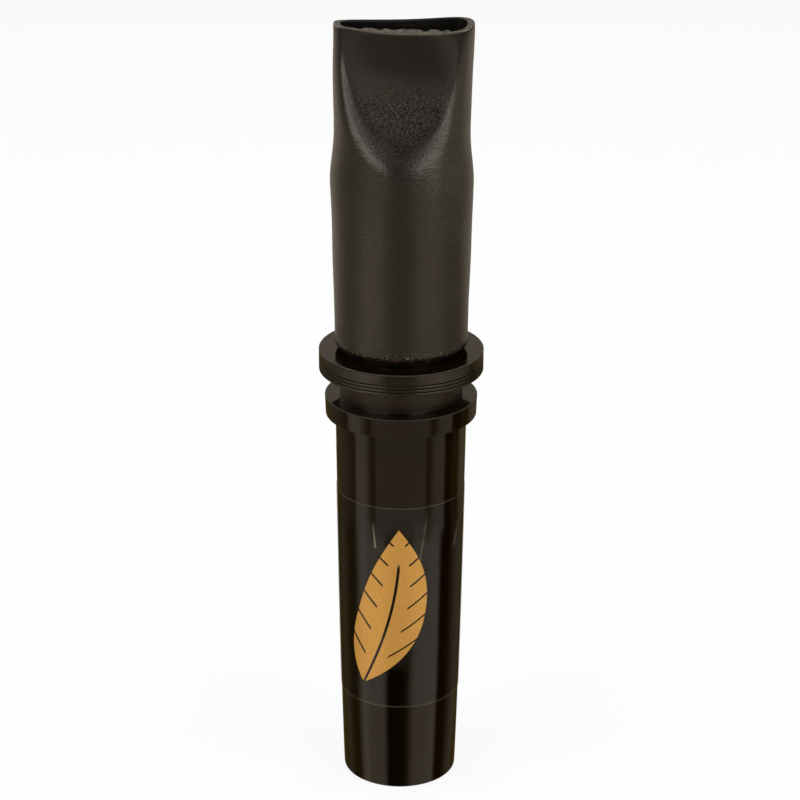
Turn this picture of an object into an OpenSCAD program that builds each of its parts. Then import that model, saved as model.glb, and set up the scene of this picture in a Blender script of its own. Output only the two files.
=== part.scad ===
// A hand-blown bird call: a tapered barrel with a lanyard groove, and a mouthpiece that pushes into it.
// The mouthpiece is a rigid core with a tone board, a reed and its wedge, under a soft sleeve that is
// pressed flat at the mouth. Millimetres. +Z runs from the sounding end to the mouth, and -Y is the front.

/* [Barrel] */
// Height of the barrel from its sounding end to its upper face
barrel_h = 81.6; // [78:0.1:95]
// Outer radius at the sounding end
barrel_end_r = 10.15; // [9.8:0.05:10.6]
// Outer radius just below the second flange
barrel_neck_r = 11.45; // [11.2:0.05:12]
// Outer radius towards which the taper is drawn at its knee
taper_knee_r = 10.82; // [10.6:0.02:11.1]
// Height of the taper's knee
taper_knee_h = 18; // [10:0.5:30]
// Rounding of the outer edge at the sounding end
end_round = 0.35; // [0.2:0.05:0.8]
// Fillet between the barrel and the second flange
neck_fillet = 0.4; // [0.2:0.05:0.8]

/* [Flanges and lanyard groove] */
// Radius of the rim flange at the barrel's upper end
rim_flange_r = 14.3; // [13.6:0.05:16]
// Thickness of the rim flange
rim_flange_h = 3.8; // [3.2:0.1:6]
// Radius of the second flange
second_flange_r = 13.3; // [12.6:0.05:15]
// Thickness of the second flange
second_flange_h = 3.5; // [2.5:0.1:6]
// Draft of the second flange's rim, as the radius lost towards its lower face
second_flange_draft = 0.12; // [0:0.01:0.2]
// Radius of the lanyard groove's floor
lanyard_groove_r = 10.7; // [10.3:0.05:11.3]
// Width of the lanyard groove
lanyard_groove_w = 4.7; // [3.5:0.1:6]
// Rounding of the flanges' edges
flange_edge_r = 0.15; // [0.1:0.05:0.5]
// Number of fine turned lines round the rim flange
turned_lines = 3; // [1:1:3]
// Distance between the turned lines
turned_line_pitch = 0.6; // [0.5:0.05:0.8]
// Width of a turned line at the surface
turned_line_w = 0.3; // [0.2:0.02:0.4]
// Depth of a turned line
turned_line_depth = 0.12; // [0.05:0.01:0.2]

/* [Barrel bore] */
// Radius of the socket for the mouthpiece
socket_r = 8.35; // [8.1:0.05:8.6]
// Depth of the socket
socket_depth = 19; // [17.5:0.5:24]
// Radius of the sound bore's throat
throat_r = 7; // [6:0.1:7.6]
// Length of the cone between the throat and the exit bore
flare_len = 18; // [10:1:25]
// Radius of the exit bore
exit_bore_r = 7.9; // [7.7:0.05:8.3]
// Length of the exit bore's straight stretch
exit_bore_len = 12; // [8:0.5:18]
// Chamfer at both ends of the bore
bore_chamfer = 0.4; // [0.2:0.05:0.6]

/* [Mouthpiece core] */
// Length of the core above the barrel
core_len = 30.9; // [29:0.1:34]
// Radial clearance of the spigot in the socket
spigot_clearance = 0.05; // [0.03:0.01:0.09]
// Distance between the spigot's end and the socket's floor
spigot_floor_gap = 2; // [0.5:0.1:3]
// Chamfer at the spigot's end
spigot_chamfer = 0.6; // [0.3:0.05:0.8]
// Radius of the air bore through the spigot
air_bore_r = 5.2; // [5:0.05:5.5]
// Radius of the bore that holds the tone board and the wedge
seat_bore_r = 8.2; // [8:0.05:8.5]
// Depth of that bore from the core's upper end
seat_depth = 20.5; // [19:0.1:23]
// Rounding of the core's upper outer edge
core_top_round = 1; // [0.5:0.1:1.6]
// Gap at rest between the core's shoulder and the barrel's upper face
shoulder_gap = 0.02; // [0.01:0.01:0.05]

/* [O-rings] */
// Radius of the rings' cord
seal_cord_r = 0.8; // [0.7:0.02:0.85]
// Clearance of a ring to its groove's floor and to the socket
seal_clearance = 0.03; // [0.02:0.01:0.05]
// Width of a ring's groove
seal_groove_w = 2.1; // [1.8:0.05:2.4]
// Distance of the upper ring below the core's shoulder
seal_drop = 4; // [3:0.1:5]
// Distance between the two rings
seal_pitch = 8; // [6:0.1:9]

/* [Tone board] */
// Clearance of the tone board and the wedge in the core's bore
board_fit = 0.02; // [0.01:0.01:0.04]
// Length of the round plug at the tone board's root
plug_len = 8; // [6:0.1:9]
// Distance of the flat face behind the axis
board_face_y = 0.9; // [0.5:0.05:1.2]
// Opening between the reed's tip and the tone board
tip_opening = 1.1; // [0.9:0.05:1.3]
// Distance from the axis to the front of the tongue at its tip
tip_front_y = 4.5; // [3.8:0.05:4.6]
// Radius of the tip's rounded front
tip_front_r = 14; // [12:0.5:15]
// Distance of the tongue's tip below the mouth
tip_drop = 0.4; // [0.2:0.05:1]
// Length of the tongue's thin stretch at its tip
tip_len = 10.5; // [8:0.1:11.5]
// Radius of the sound hole that runs out into the open channel
sound_hole_r = 2.6; // [2.2:0.05:2.7]
// Distance of the sound hole in front of the axis at the plug's end
sound_hole_y = 2.2; // [2:0.05:2.3]
// Distance between the channel's end and the tongue's tip
channel_end_drop = 6.5; // [5:0.1:9]
// Turn of the tone board about the call's axis
board_turn = 6; // [3:0.5:6]

/* [Reed and wedge] */
// Width of the reed
reed_w = 11; // [9:0.1:12]
// Thickness of the reed
reed_t = 0.35; // [0.25:0.01:0.45]
// Length of the reed from the clamp to its tip
reed_free_len = 26; // [23:0.1:28]
// Length of the reed that the wedge clamps
clamp_len = 8; // [6:0.1:10]
// Radius of the reed's corners at its tip
reed_corner_r = 2.4; // [1:0.1:4]
// Clearance of the reed to the tone board and to the wedge
reed_clearance = 0.02; // [0.01:0.01:0.04]
// Gap between the reed's root and the plug
reed_root_gap = 0.3; // [0.2:0.05:0.6]

/* [Mouth sleeve] */
// Wall of the sleeve
sleeve_wall = 1.3; // [1.1:0.05:1.5]
// Clearance between the sleeve and the core
sleeve_fit = 0.05; // [0.03:0.01:0.1]
// Gap between the sleeve's lower edge and the barrel
sleeve_gap = 1.1; // [0.6:0.1:3]
// Length of the sleeve
sleeve_len = 55.3; // [53.5:0.1:60]
// Outer radius of the sleeve at its lower end
sleeve_low_r = 11.45; // [11.2:0.05:12]
// Outer radius of the sleeve at its widest, round the core's upper end
sleeve_bulge_r = 12.13; // [11.9:0.01:12.6]
// Distance of the widest place below the core's upper end
bulge_drop = 1; // [0.5:0.1:2]
// Half width of the sleeve at its waist above the core
waist_half_w = 11.56; // [11.3:0.02:12]
// Distance of the waist above the core's upper end
waist_rise = 7.5; // [6:0.1:10]
// Half width of the mouth
mouth_half_w = 11.76; // [11.4:0.02:12.4]
// Distance of the mouth's widest line behind the axis
mouth_mid_y = 2.3; // [1.8:0.05:2.6]
// Depth of the mouth in front of its widest line, at its left end
mouth_front_d = 7.2; // [7:0.05:7.8]
// Further depth of the mouth's front at its right end
mouth_front_swell = 2.8; // [2:0.1:3.2]
// Depth of the mouth behind its widest line, at its left end
mouth_back_d = 2.1; // [2:0.05:3]
// Further depth of the mouth's back at its right end
mouth_back_swell = 6.9; // [4:0.1:7]
// Turn of the flattened mouth about the call's axis
mouth_turn = 5; // [3:0.5:6]
// Distance from the core's upper end to the crest at the foot of the hollow in the front
hollow_rise = 5.7; // [4.5:0.1:6.5]
// Depth over which the hollow's crest is rounded, to each side of it
crest_round = 2.4; // [1:0.1:2.6]
// Distance from the core's upper end to where the sides start to turn
side_rise = 3.6; // [3:0.1:6]
// Distance from the core's upper end to the foot of the slope at the back
back_slope_rise = 1.5; // [1:0.1:4]
// Height over which the back falls in to the mouth
back_slope_len = 21; // [16:0.1:22]
// Rounding of the sleeve's cut edges
lip_r = 0.3; // [0.1:0.05:0.5]

/* [Label] */
// Thickness of the clear film
label_t = 0.1; // [0.08:0.01:0.2]
// Gap between the film and the barrel
label_gap = 0.02; // [0.01:0.01:0.04]
// Height of the film's lower edge
label_z = 16.7; // [10:0.1:22]
// Height of the film
label_h = 39.2; // [30:0.1:42]
// Gap between the film's two ends, at the back
label_seam = 1.2; // [0.5:0.1:4]

/* [Hidden] */

// How far a cut runs past what it cuts
overrun = 1;
// Segments of a small rounded edge, and of the barrel's curved taper
edge_steps = 4;
taper_steps = 14;
// Faces round a turned piece
round_fn = 96;

// Heights along the axis
rim_flange_z = barrel_h - rim_flange_h;
second_flange_top = rim_flange_z - lanyard_groove_w;
second_flange_z = second_flange_top - second_flange_h;
socket_floor_z = barrel_h - socket_depth;
spigot_z = socket_floor_z + spigot_floor_gap;
shoulder_z = barrel_h + shoulder_gap;
core_top = barrel_h + core_len;
seat_z = core_top - seat_depth;
plug_top = seat_z + plug_len;
clamp_z = plug_top + clamp_len;
reed_tip_z = clamp_z + reed_free_len;
sleeve_z = barrel_h + sleeve_gap;
mouth_z = sleeve_z + sleeve_len;
tip_z = mouth_z - tip_drop;
bulge_z = core_top - bulge_drop;
waist_z = core_top + waist_rise;
hollow_z = core_top + hollow_rise;
side_z = core_top + side_rise;
back_slope_z = core_top + back_slope_rise;

// Fits
spigot_r = socket_r - spigot_clearance;
seal_ring_r = socket_r - seal_clearance - seal_cord_r;
seal_floor_r = seal_ring_r - seal_cord_r - seal_clearance;
seal_upper_z = shoulder_z - seal_drop;
seal_lower_z = seal_upper_z - seal_pitch;
plug_r = seat_bore_r - board_fit;
reed_front_y = board_face_y + reed_clearance;
reed_back_y = reed_front_y + reed_t;
reed_root_z = plug_top + reed_root_gap;
// The board's face and the wedge both lean by the angle that the reed's tip closes
closing_angle = atan(tip_opening / reed_free_len);
tip_face_y = board_face_y - (tip_z - clamp_z) * tan(closing_angle);

// Sleeve mesh: sides round it, rings along its straight stretch and along its shaped stretch
sleeve_sides = 56;
straight_rings = 4;
shaped_rings = 24;
// Squareness of the corners of the mouth's back, as a power of the cosine and sine
corner_power = 0.7;
// How much of the back's swell lies towards its right end, as a power of the way across
swell_power = 3;
// How quickly the front falls in above the hollow's crest, as a power of what is left of the height
fall_power = 2.6;
// How late the pressed front turns from flat to the mouth's curve, as a power of the way up
bow_power = 2;
// How closely the sides keep to their own shift, as a power of the cosine, in the front and at the back
front_side_power = 8;
back_side_power = 4;

function lerp(a, b, share) = a + (b - a) * share;

// Eases from 0 to 1
function ease(share) = let (s = min(max(share, 0), 1)) s * s * (3 - 2 * s);

// Points of an arc about a centre
function arc(centre, r, from_a, to_a) =
    [for (i = [0 : edge_steps]) let (a = lerp(from_a, to_a, i / edge_steps)) centre + r * [cos(a), sin(a)]];

// The barrel's outer radius and height along its curved taper, which a quadratic curve draws
function taper_point(share) =
    let (low = [barrel_end_r, end_round], knee = [taper_knee_r, taper_knee_h],
         high = [barrel_neck_r, second_flange_z - neck_fillet])
    lerp(lerp(low, knee, share), lerp(knee, high, share), share);

// The share of the taper at which it reaches a height
function taper_share(z) =
    let (low = end_round, knee = taper_knee_h, high = second_flange_z - neck_fillet,
         a = low - 2 * knee + high, b = 2 * (knee - low), c = low - z)
    (sqrt(b * b - 4 * a * c) - b) / (2 * a);

// One flange's rim with rounded edges, from its lower edge to its upper edge
function flange_rim(low_r, high_r, low_z, high_z) = concat(
    arc([low_r - flange_edge_r, low_z + flange_edge_r], flange_edge_r, -90, 0),
    arc([high_r - flange_edge_r, high_z - flange_edge_r], flange_edge_r, 0, 90));

// The sleeve's round outer radius, which grows steadily up to its widest place
function sleeve_round_r(z) =
    lerp(sleeve_low_r, sleeve_bulge_r, (min(z, bulge_z) - sleeve_z) / (bulge_z - sleeve_z));

// The core fills the sleeve
function core_r(z) = sleeve_round_r(z) - sleeve_wall - sleeve_fit;

module barrel_outline() {
    polygon(concat(
        [[0, 0]],
        arc([barrel_end_r - end_round, end_round], end_round, -90, 0),
        [for (i = [1 : taper_steps]) taper_point(i / taper_steps)],
        arc([barrel_neck_r + neck_fillet, second_flange_z - neck_fillet], neck_fillet, 180, 90),
        flange_rim(second_flange_r - second_flange_draft, second_flange_r, second_flange_z, second_flange_top),
        [[lanyard_groove_r, second_flange_top], [lanyard_groove_r, rim_flange_z]],
        flange_rim(rim_flange_r, rim_flange_r, rim_flange_z, barrel_h),
        [[0, barrel_h]]));
}

// Socket, throat, flare and exit bore, with a chamfer at each mouth
module barrel_bore() {
    flare_z = exit_bore_len + flare_len;
    polygon([
        [0, -overrun], [exit_bore_r + bore_chamfer + overrun, -overrun], [exit_bore_r, bore_chamfer],
        [exit_bore_r, exit_bore_len], [throat_r, flare_z], [throat_r, socket_floor_z],
        [socket_r, socket_floor_z], [socket_r, barrel_h - bore_chamfer],
        [socket_r + bore_chamfer + overrun, barrel_h + overrun], [0, barrel_h + overrun]]);
}

module turned_line(z) {
    polygon([
        [rim_flange_r + overrun, z - turned_line_w / 2], [rim_flange_r, z - turned_line_w / 2],
        [rim_flange_r - turned_line_depth, z], [rim_flange_r, z + turned_line_w / 2],
        [rim_flange_r + overrun, z + turned_line_w / 2]]);
}

module barrel() {
    color([0.13, 0.11, 0.1]) rotate_extrude($fn = round_fn) difference() {
        barrel_outline();
        barrel_bore();
        for (i = [1 : turned_lines]) turned_line(rim_flange_z + i * turned_line_pitch);
    }
}

// The film follows the barrel's taper, and its ends meet at the back
module clear_label() {
    low_share = taper_share(label_z);
    high_share = taper_share(label_z + label_h);
    wall = [for (i = [0 : taper_steps]) taper_point(lerp(low_share, high_share, i / taper_steps))];
    inner = [for (p = wall) p + [label_gap, 0]];
    outer = [for (i = [taper_steps : -1 : 0]) wall[i] + [label_gap + label_t, 0]];
    seam_angle = label_seam / barrel_neck_r * 180 / PI;
    color([0.75, 0.72, 0.66, 0.35])
        rotate([0, 0, 90 + seam_angle / 2])
            rotate_extrude(angle = 360 - seam_angle, $fn = round_fn)
                polygon(concat(inner, outer));
}

// One O-ring's groove in the spigot, as the steps of its outline from below
function seal_groove(z) = [
    [spigot_r, z - seal_groove_w / 2], [seal_floor_r, z - seal_groove_w / 2],
    [seal_floor_r, z + seal_groove_w / 2], [spigot_r, z + seal_groove_w / 2]];

module mouthpiece_core() {
    round_z = core_top - core_top_round;
    color([0.07, 0.07, 0.07]) rotate_extrude($fn = round_fn) polygon(concat(
        [[air_bore_r, spigot_z], [spigot_r - spigot_chamfer, spigot_z], [spigot_r, spigot_z + spigot_chamfer]],
        seal_groove(seal_lower_z),
        seal_groove(seal_upper_z),
        [[spigot_r, shoulder_z], [core_r(shoulder_z), shoulder_z], [core_r(bulge_z), min(bulge_z, round_z)]],
        arc([core_r(bulge_z) - core_top_round, round_z], core_top_round, 0, 90),
        [[seat_bore_r, core_top], [seat_bore_r, seat_z], [air_bore_r, seat_z]]));
}

module o_ring(z) {
    translate([0, 0, z]) rotate_extrude($fn = round_fn) translate([seal_ring_r, 0]) circle(seal_cord_r, $fn = 32);
}

module o_ring_upper() { color([0.05, 0.05, 0.05]) o_ring(seal_upper_z); }

module o_ring_lower() { color([0.05, 0.05, 0.05]) o_ring(seal_lower_z); }

// A prism across the call, from an outline of [y, z] points
module across(points) {
    rotate([90, 0, 90]) linear_extrude(2 * (seat_bore_r + overrun), center = true) polygon(points);
}

// The tongue's section at its tip: the plug's stock with a flatter front
module tip_section() {
    intersection() {
        circle(plug_r, $fn = 48);
        translate([0, tip_front_r - tip_front_y]) circle(tip_front_r, $fn = 64);
    }
}

// The tongue before its face is cut: half-round stock that thins until it reaches the tip's section
module tongue_stock() {
    slice = reed_t;
    thin_z = tip_z - tip_len;
    translate([0, 0, plug_top]) cylinder(h = core_top - plug_top, r = plug_r, $fn = round_fn);
    hull() {
        translate([0, 0, core_top - slice]) cylinder(h = slice, r = plug_r, $fn = 48);
        translate([0, 0, thin_z]) linear_extrude(slice) tip_section();
    }
    translate([0, 0, thin_z]) linear_extrude(tip_z - thin_z) tip_section();
}

// The sound hole leaves the plug's end full round, leans back and runs out of the face as an open channel
module sound_hole() {
    end_z = tip_z - channel_end_drop;
    end_y = board_face_y - (end_z - clamp_z) * tan(closing_angle) + sound_hole_r;
    lean = atan((end_y + sound_hole_y) / (end_z - seat_z));
    translate([0, -sound_hole_y, seat_z]) rotate([-lean, 0, 0]) translate([0, 0, -overrun])
        cylinder(h = end_z - seat_z + sound_hole_r + overrun, r = sound_hole_r, $fn = 48);
}

module tone_board() {
    color([0.62, 0.6, 0.56]) rotate([0, 0, -board_turn]) difference() {
        union() {
            translate([0, 0, seat_z]) cylinder(h = plug_len, r = plug_r, $fn = round_fn);
            intersection() {
                tongue_stock();
                across([[-seat_bore_r - overrun, plug_top - overrun], [board_face_y, plug_top - overrun],
                        [board_face_y, clamp_z], [tip_face_y, tip_z], [-seat_bore_r - overrun, tip_z]]);
            }
        }
        sound_hole();
    }
}

// A flat strip with a square root under the wedge and rounded corners at its free tip
module reed() {
    color([0.86, 0.85, 0.8, 0.8]) rotate([0, 0, -board_turn])
        translate([0, reed_back_y, 0]) rotate([90, 0, 0]) linear_extrude(reed_t) union() {
            translate([-reed_w / 2, reed_root_z]) square([reed_w, reed_tip_z - reed_corner_r - reed_root_z]);
            translate([reed_corner_r - reed_w / 2, reed_root_z])
                square([reed_w - 2 * reed_corner_r, reed_tip_z - reed_root_z]);
            for (side = [-1, 1]) translate([side * (reed_w / 2 - reed_corner_r), reed_tip_z - reed_corner_r])
                circle(reed_corner_r, $fn = 48);
        }
}

// Fills the bore behind the reed's root, and is thinnest at its lower end, which is pushed in first
module reed_wedge() {
    low_z = plug_top + board_fit;
    touch_y = reed_back_y + reed_clearance;
    low_y = touch_y + (clamp_z - low_z) * tan(closing_angle);
    color([0.8, 0.76, 0.66]) rotate([0, 0, -board_turn]) intersection() {
        translate([0, 0, low_z]) cylinder(h = clamp_z - low_z, r = plug_r, $fn = round_fn);
        across([[low_y, low_z], [seat_bore_r + overrun, low_z], [seat_bore_r + overrun, clamp_z],
                [touch_y, clamp_z]]);
    }
}

// The sleeve's half width, seen from the front
function sleeve_half_w(z) = z < bulge_z ? sleeve_round_r(z) :
    lerp(lerp(sleeve_bulge_r, waist_half_w, ease((z - bulge_z) / (waist_z - bulge_z))), mouth_half_w,
         ease((z - waist_z) / (mouth_z - waist_z)));

// How far the pressed front lies behind the round tube's, at a height and at a place across from -1 to 1
function fall_in(z, across_share) =
    let (front_d = mouth_front_d + mouth_front_swell * (1 + across_share) / 2,
         up = (z - hollow_z) / (mouth_z - hollow_z),
         fall = up > 0 ? 1 - pow(1 - min(up, 1), fall_power) : fall_power * up,
         bow = front_d * pow(min(max(up, 0), 1), bow_power))
    (mouth_mid_y + mouth_half_w - front_d) * fall -
        (sleeve_half_w(z) - bow) * (1 - sqrt(max(1 - across_share * across_share, 0)));

// A gap that opens at the hollow's crest, with the crest itself rounded
function rounded_crest(gap) = gap > crest_round ? gap :
    pow(max(gap + crest_round, 0), 2) / (4 * crest_round);

function back_share(z) = ease((z - back_slope_z) / back_slope_len);

// How far the sides have shifted at a height
function side_share(z) = ease((z - side_z) / (mouth_z - side_z));

// The place in its section of a point on the front, which is round below the crest and pressed above it
function front_point(z, c, s, w) =
    [w * c, w * s + lerp(rounded_crest(fall_in(z, c)), mouth_mid_y * side_share(z), pow(abs(c), front_side_power))];

// The place in its section of a point on the back, which goes steadily from round to flat
function back_point(z, c, s, w, depth) =
    let (across_share = sign(c) * pow(abs(c), corner_power),
         back_d = mouth_back_d + mouth_back_swell * pow((1 + across_share) / 2, swell_power),
         flat = [w * across_share, mouth_mid_y + (back_d - depth) * pow(s, corner_power)])
    lerp(w * [c, s], flat, lerp(back_share(z), side_share(z), pow(abs(c), back_side_power)));

// A point on the sleeve at a height and an angle, at a depth into its wall
function sleeve_point(z, a, depth) =
    let (w = sleeve_half_w(z) - depth, c = cos(a), s = sin(a),
         p = s < 0 ? front_point(z, c, s, w) : back_point(z, c, s, w, depth),
         turn = -mouth_turn * side_share(z))
    [p[0] * cos(turn) - p[1] * sin(turn), p[0] * sin(turn) + p[1] * cos(turn), z];

// Heights of the sleeve's rings, and its rings up the outside, over the lip and down the inside
sleeve_levels = concat(
    [for (i = [1 : straight_rings]) lerp(sleeve_z + lip_r, bulge_z, (i - 1) / straight_rings)],
    [for (i = [0 : shaped_rings]) lerp(bulge_z, mouth_z - lip_r, i / shaped_rings)]);
last_level = len(sleeve_levels) - 1;
sleeve_rings = concat(
    [for (z = sleeve_levels) [z, 0]],
    [[mouth_z, lip_r], [mouth_z, sleeve_wall - lip_r]],
    [for (i = [last_level : -1 : 0]) [sleeve_levels[i], sleeve_wall]],
    [[sleeve_z, sleeve_wall - lip_r], [sleeve_z, lip_r]]);

module mouth_sleeve() {
    rings = len(sleeve_rings);
    points = [for (ring = sleeve_rings) for (i = [0 : sleeve_sides - 1])
        sleeve_point(ring[0], 360 * i / sleeve_sides, ring[1])];
    faces = [for (j = [0 : rings - 1]) for (i = [0 : sleeve_sides - 1])
        let (up = (j + 1) % rings, next = (i + 1) % sleeve_sides,
             p = j * sleeve_sides + i, q = j * sleeve_sides + next,
             r = up * sleeve_sides + next, s = up * sleeve_sides + i)
        each [[p, r, q], [p, s, r]]];
    color([0.15, 0.14, 0.13]) polyhedron(points, faces);
}

barrel();
clear_label();
mouthpiece_core();
o_ring_upper();
o_ring_lower();
tone_board();
reed();
reed_wedge();
mouth_sleeve();
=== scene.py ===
# %% [markdown]
# # A hand-blown bird call
#
# The call is a tapered barrel of dark polished plastic with two flanges and a lanyard groove, and a
# mouthpiece that pushes into it. A soft matt sleeve covers the mouthpiece and is pressed flat at the mouth,
# where the rough end of the tone board shows.
#
# The rigid pieces come ready made and at their real size in a fixed frame. They could all be modelled again
# here, but then they might not fit each other. So this lesson gives them their finishes, and models only the
# two pieces whose surface is more than a plain solid: the sleeve and the tone board.

# %% The fixed frame
import math
from types import SimpleNamespace

import bmesh
import bpy
from mathutils import Matrix, Vector, noise


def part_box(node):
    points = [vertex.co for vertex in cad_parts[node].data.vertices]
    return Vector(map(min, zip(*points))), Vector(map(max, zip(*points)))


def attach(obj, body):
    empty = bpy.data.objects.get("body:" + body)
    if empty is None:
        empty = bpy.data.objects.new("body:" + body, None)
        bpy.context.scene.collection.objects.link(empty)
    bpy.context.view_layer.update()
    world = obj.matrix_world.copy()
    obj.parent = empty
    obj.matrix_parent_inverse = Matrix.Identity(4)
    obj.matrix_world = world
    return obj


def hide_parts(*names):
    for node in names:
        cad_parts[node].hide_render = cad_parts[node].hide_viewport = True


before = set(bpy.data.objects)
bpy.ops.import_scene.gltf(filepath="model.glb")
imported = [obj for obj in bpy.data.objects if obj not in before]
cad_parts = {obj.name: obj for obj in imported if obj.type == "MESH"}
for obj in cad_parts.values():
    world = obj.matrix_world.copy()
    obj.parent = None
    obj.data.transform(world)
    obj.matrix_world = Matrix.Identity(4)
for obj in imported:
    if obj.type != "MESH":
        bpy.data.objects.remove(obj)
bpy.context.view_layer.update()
MM = 0.001

# %% [markdown]
# ## Camera
#
# A long lens from the front and above makes the sleeve and the barrel nearly parallel in the picture. A short
# lens close by would show more of the mouth, but it would also make the barrel look like a cone. The camera
# is set first, because every finish is then judged through it. It leans a quarter of a degree, as a camera on
# a hand-levelled tripod does.

# %% Camera
SENSOR = 36
LENS = 111.9
CLIP_START = 10 * MM
CAMERA_AT = Vector((-0.18, -404.11, 231.67)) * MM
CAMERA_PITCH = math.radians(21.606)
CAMERA_ROLL = math.radians(0.235)


def make_camera():
    data = bpy.data.cameras.new("camera")
    data.sensor_width = SENSOR
    data.lens = LENS
    data.clip_start = CLIP_START
    camera = bpy.data.objects.new("camera", data)
    tilt = Matrix.Rotation(math.pi / 2 - CAMERA_PITCH, 4, "X") @ Matrix.Rotation(CAMERA_ROLL, 4, "Z")
    camera.matrix_world = Matrix.Translation(CAMERA_AT) @ tilt
    bpy.context.scene.collection.objects.link(camera)
    bpy.context.scene.camera = camera


make_camera()
print("camera looks down by", round(math.degrees(CAMERA_PITCH), 1), "degrees")

# %% [markdown]
# ## Shader maths as Python
#
# A finish is a small network of shader nodes. It could be wired by hand in the editor, but the idea behind it
# is then hard to see. So one class wraps a socket and lets Python's own operators add the Math nodes, with
# two named steps for the masks that this lesson needs most.

# %% A socket that does maths


class Wire:
    """The output socket of a node, which Python's operators can work on."""

    def __init__(self, finish, socket):
        self.finish = finish
        self.socket = socket

    def maths(self, operation, *values):
        return self.finish.node("Math", {"operation": operation}, values)

    def __add__(self, other):
        return self.maths("ADD", self, other)

    def __radd__(self, other):
        return self.maths("ADD", other, self)

    def __sub__(self, other):
        return self.maths("SUBTRACT", self, other)

    def __rsub__(self, other):
        return self.maths("SUBTRACT", other, self)

    def __mul__(self, other):
        return self.maths("MULTIPLY", self, other)

    def __rmul__(self, other):
        return self.maths("MULTIPLY", other, self)

    def __truediv__(self, other):
        return self.maths("DIVIDE", self, other)

    def __neg__(self):
        return self.maths("MULTIPLY", self, -1)

    def __abs__(self):
        return self.maths("ABSOLUTE", self)

    def __pow__(self, other):
        return self.maths("POWER", self, other)

    def between(self, low, high):
        """Rises smoothly from 0 at low to 1 at high, or falls where low is the larger."""
        settings = {"interpolation_type": "SMOOTHSTEP"}
        if low < high:
            return self.finish.node("MapRange", settings, {"Value": self, "From Min": low, "From Max": high})
        return 1 - self.finish.node("MapRange", settings, {"Value": self, "From Min": high, "From Max": low})

    def band(self, middle, half_width, soft):
        """1 round a middle value, falling to 0 at a half width from it over a soft edge."""
        return (half_width - abs(self - middle)).between(0, soft)


print("a socket now adds, multiplies and compares")

# %% [markdown]
# ## A finish and its shader
#
# A second class holds the material. Each kind of node could have a function of its own, but then there would
# be as many ways to make a node as kinds. So one method takes the node's type, its settings and what goes
# into its sockets. The patterns read Object coordinates, which are true to size and stay on the piece at
# every pose, where a flat unrolled map would stretch them.

# %% A finish's material
AXES = range(3)
MIX_LOW = 6
MIX_HIGH = 7
MIX_COLOUR = 2


class Finish:
    """A material whose Principled shader is fed by name."""

    def __init__(self, name, **constants):
        self.material = bpy.data.materials.new(name)
        self.material.use_nodes = True
        self.tree = self.material.node_tree
        self.shader = self.tree.nodes["Principled BSDF"]
        for socket, value in constants.items():
            self.shader.inputs[socket.replace("_", " ")].default_value = value

    def node(self, kind, settings=None, values=(), output=0):
        made = self.tree.nodes.new("ShaderNode" + kind)
        for setting, value in (settings or {}).items():
            if setting == "stops":
                self.set_stops(made.color_ramp, value)
            else:
                setattr(made, setting, value)
        named = values.items() if isinstance(values, dict) else enumerate(values)
        for socket, value in named:
            self.feed(made.inputs[socket], value)
        return Wire(self, made.outputs[output])

    def set_stops(self, ramp, stops):
        while len(ramp.elements) < len(stops):
            ramp.elements.new(1)
        for element, (place, colour) in zip(ramp.elements, stops):
            element.position = place
            element.color = colour

    def feed(self, socket, value):
        if isinstance(value, Wire):
            self.tree.links.new(value.socket, socket)
        else:
            socket.default_value = value

    def place(self):
        """The point on the piece, in metres."""
        return self.node("TexCoord", output="Object")

    def coordinates(self):
        """The point's x, y and z."""
        point = self.place()
        return [self.node("SeparateXYZ", None, [point], axis) for axis in AXES]

    def from_axis(self, x, y):
        """The distance from the call's axis."""
        return self.node("Math", {"operation": "SQRT"}, [x * x + y * y])

    def from_front(self, x, y):
        """The angle round the axis from the front, in radians."""
        return self.node("Math", {"operation": "ARCTAN2"}, [x, -y])

    def noise(self, scale, detail=2.0, vector=None, roughness=0.5):
        values = {"Vector": vector or self.place(), "Scale": scale, "Detail": detail, "Roughness": roughness}
        return self.node("TexNoise", {"noise_dimensions": "3D"}, values)

    def stretched(self, x, y, z):
        """The point with each coordinate multiplied, so that a pattern on it is drawn out."""
        return self.node("Mapping", {"vector_type": "POINT"}, {"Vector": self.place(), "Scale": (x, y, z)})

    def mix(self, share, low, high):
        """A colour between two others. The node keeps its colour sockets after those for numbers."""
        return self.node("Mix", {"data_type": "RGBA"}, {0: share, MIX_LOW: low, MIX_HIGH: high}, MIX_COLOUR)

    def bump(self, height, distance, strength=1.0):
        return self.node("Bump", None, {"Height": height, "Distance": distance, "Strength": strength})

    def feed_shader(self, **sockets):
        for socket, value in sockets.items():
            self.feed(self.shader.inputs[socket.replace("_", " ")], value)

    def show(self, surface):
        self.tree.links.new(surface.socket, self.tree.nodes["Material Output"].inputs["Surface"])

    def deaden(self, share, colour, normal):
        """Lets a share of the surface be plain and dull: dusty on the barrel's lines, painted sheen and shade
        on the sleeve.
        """
        values = {"Base Color": colour, "Roughness": 1.0, "Specular IOR Level": 0.0, "Normal": normal}
        dull = self.node("BsdfPrincipled", None, values)
        self.show(self.node("MixShader", None, [share, Wire(self, self.shader.outputs[0]), dull]))


print("a finish makes its nodes by one method")

# %% Colours, and a finish for a piece


def linear(red, green, blue):
    """A colour as seen on a screen, 0 to 255, as the linear values that a shader works in."""
    seen = [channel / 255 for channel in (red, green, blue)]
    return tuple(c / 12.92 if c < 0.04045 else ((c + 0.055) / 1.055) ** 2.4 for c in seen) + (1.0,)


def wear(node_name, finish):
    """Gives a CAD node its finish."""
    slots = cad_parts[node_name].data.materials
    slots.clear()
    slots.append(finish.material)
    print(node_name, "wears", finish.material.name)


print("mid grey as a shader sees it:", round(linear(128, 128, 128)[0], 3))

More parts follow.
